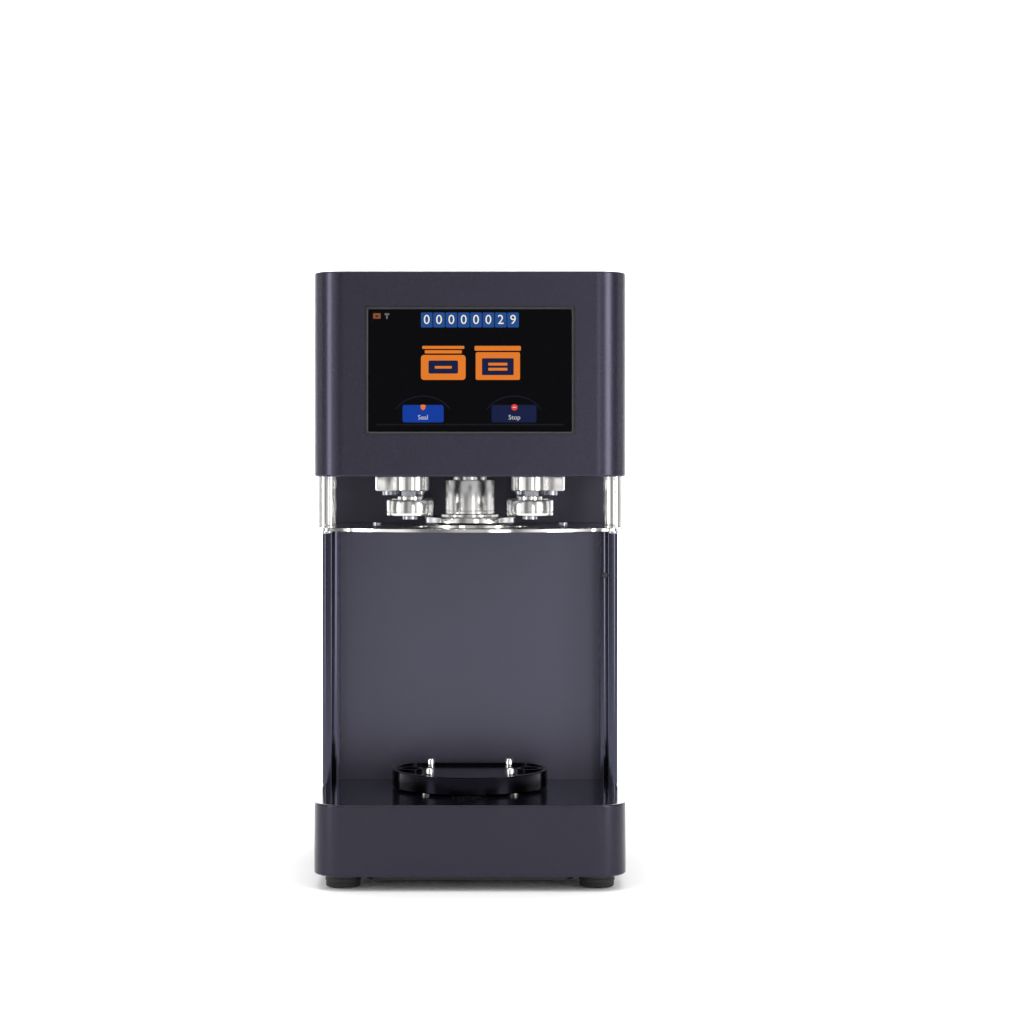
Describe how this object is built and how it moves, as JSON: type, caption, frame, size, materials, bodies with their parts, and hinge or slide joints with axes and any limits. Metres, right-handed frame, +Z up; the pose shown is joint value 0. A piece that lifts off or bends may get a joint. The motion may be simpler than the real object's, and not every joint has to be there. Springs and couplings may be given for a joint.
{
  "type": "can and jar seamer",
  "caption": "Bench-top electric can and jar seamer: boxy head with touch screen, polished guide plate, orbiting seaming rollers round a fixed chuck, lifting jar tray and a rear column.",
  "frame": {"origin": "centre of the whole machine's footprint, on the plane its feet stand on", "axes": "+Z up, -Y towards the user (the screen side), +X to the user's right"},
  "size_m": [0.25, 0.3, 0.4928],
  "materials": {
    "body_shell": "satin anodised, dark grey-violet",
    "trim_gloss": "glossy dark anodised",
    "inner_sheet": "satin powder coat",
    "dark_tray": "polished black coat",
    "polished_steel": "mirror polished stainless steel",
    "machined_steel": "fine machined",
    "deck_metal": "milled",
    "black_plastic": "fine texture",
    "screen_black": "glossy black touch glass",
    "rubber": "moulded",
    "belt": "reinforced rubber",
    "board": "green circuit board",
    "brass": "turned",
    "zinc": "zinc plated screws"
  },
  "bodies": {
    "root": {"base_shell": "body_shell", "bottom_cover": "black_plastic", "chuck_bolt": "zinc", "column_front_panel": "body_shell", "column_shell": "body_shell", "column_trims": "trim_gloss", "controller_board": "board", "display_module": "black_plastic", "drive_belt": "belt", "drive_motor": "black_plastic", "drive_plate": "deck_metal", "fan_housing": "black_plastic", "feet": "rubber", "foot_screws": "zinc", "front_posts": "polished_steel", "guide_plate": "polished_steel", "head_deck": "inner_sheet", "head_screws": "zinc", "head_shell": "body_shell", "lift_belt": "belt", "lift_bushes": "brass", "lift_motor": "machined_steel", "plate_screws": "zinc", "plate_standoffs": "deck_metal", "power_inlet": "black_plastic", "power_supply": "deck_metal", "rear_cover": "inner_sheet", "rear_cover_screws": "zinc", "screen_bezel": "black_plastic", "screw_bearing": "machined_steel", "seaming_chuck": "polished_steel", "spindle": "polished_steel", "spindle_sleeve": "polished_steel", "touch_glass": "screen_black", "upper_back_wall": "inner_sheet"},
    "turret": {"turret_plate": "deck_metal", "turret_bearings": "machined_steel", "turret_pulley": "deck_metal", "pivot_pins": "zinc"},
    "drive_pulley": {"motor_pulley": "machined_steel"},
    "tray": {"jar_tray": "dark_tray", "tray_pins": "polished_steel", "lift_plunger": "polished_steel", "lift_rods": "polished_steel"},
    "screw": {"lift_screw": "machined_steel"},
    "lift_pulley": {"lift_motor_pulley": "machined_steel"},
    "rocker": {"power_rocker": "black_plastic"},
    "fan": {"fan_rotor": "black_plastic"},
    "arm_1": {"roller_arm_1": "polished_steel", "roller_pin_1": "zinc"},
    "roller_1": {"seaming_roller_1": "polished_steel"},
    "arm_2": {"roller_arm_2": "polished_steel", "roller_pin_2": "zinc"},
    "roller_2": {"seaming_roller_2": "polished_steel"},
    "arm_3": {"roller_arm_3": "polished_steel", "roller_pin_3": "zinc"},
    "roller_3": {"seaming_roller_3": "polished_steel"},
    "arm_4": {"roller_arm_4": "polished_steel", "roller_pin_4": "zinc"},
    "roller_4": {"seaming_roller_4": "polished_steel"}
  },
  "joints": [
    {"name": "turret_spin", "type": "hinge", "parent": "root", "child": "turret", "pos_m": [0, -0.04, 0.335], "axis": [0, 0, 1], "continuous": true},
    {"name": "drive_motor_spin", "type": "hinge", "parent": "root", "child": "drive_pulley", "pos_m": [0, 0.104, 0.355], "axis": [0, 0, 1], "continuous": true},
    {"name": "arm_1_swing", "type": "hinge", "parent": "turret", "child": "arm_1", "pos_m": [-0.066, -0.072, 0.323], "axis": [0, 0, 1], "range_deg": [0, 18], "stiffness_Nm_per_rad": 0.2},
    {"name": "roller_1_spin", "type": "hinge", "parent": "arm_1", "child": "roller_1", "pos_m": [-0.049, -0.089, 0.303], "axis": [0, 0, 1], "continuous": true},
    {"name": "arm_2_swing", "type": "hinge", "parent": "turret", "child": "arm_2", "pos_m": [0.066, -0.072, 0.323], "axis": [0, 0, -1], "range_deg": [0, 18], "stiffness_Nm_per_rad": 0.2},
    {"name": "roller_2_spin", "type": "hinge", "parent": "arm_2", "child": "roller_2", "pos_m": [0.049, -0.089, 0.303], "axis": [0, 0, 1], "continuous": true},
    {"name": "arm_3_swing", "type": "hinge", "parent": "turret", "child": "arm_3", "pos_m": [0.066, -0.008, 0.323], "axis": [0, 0, 1], "range_deg": [0, 18], "stiffness_Nm_per_rad": 0.2},
    {"name": "roller_3_spin", "type": "hinge", "parent": "arm_3", "child": "roller_3", "pos_m": [0.049, 0.009, 0.303], "axis": [0, 0, 1], "continuous": true},
    {"name": "arm_4_swing", "type": "hinge", "parent": "turret", "child": "arm_4", "pos_m": [-0.066, -0.008, 0.323], "axis": [0, 0, -1], "range_deg": [0, 18], "stiffness_Nm_per_rad": 0.2},
    {"name": "roller_4_spin", "type": "hinge", "parent": "arm_4", "child": "roller_4", "pos_m": [-0.049, 0.009, 0.303], "axis": [0, 0, 1], "continuous": true},
    {"name": "tray_lift", "type": "slide", "parent": "root", "child": "tray", "axis": [0, 0, 1], "range_m": [0, 0.028]},
    {"name": "lift_screw_spin", "type": "hinge", "parent": "root", "child": "screw", "pos_m": [0, -0.04, 0.03], "axis": [0, 0, 1], "range_deg": [-2, 1262]},
    {"name": "lift_motor_spin", "type": "hinge", "parent": "root", "child": "lift_pulley", "pos_m": [0.046, -0.04, 0.02], "axis": [0, 0, 1], "range_deg": [-4, 2524]},
    {"name": "rocker_tilt", "type": "hinge", "parent": "root", "child": "rocker", "pos_m": [0.0705, 0.144, 0.1106], "axis": [1, 0, 0], "range_deg": [-16, 0]},
    {"name": "fan_spin", "type": "hinge", "parent": "root", "child": "fan", "pos_m": [0, 0.14, 0.2363], "axis": [0, 1, 0], "continuous": true}
  ],
  "couplings": [
    {"joint": "drive_motor_spin", "follows": "turret_spin", "ratio": 3},
    {"joint": "arm_3_swing", "follows": "arm_1_swing", "ratio": 1},
    {"joint": "arm_4_swing", "follows": "arm_2_swing", "ratio": 1},
    {"joint": "lift_screw_spin", "follows": "tray_lift", "rad_per_m": 785.4},
    {"joint": "lift_motor_spin", "follows": "tray_lift", "rad_per_m": 1570.8}
  ]
}
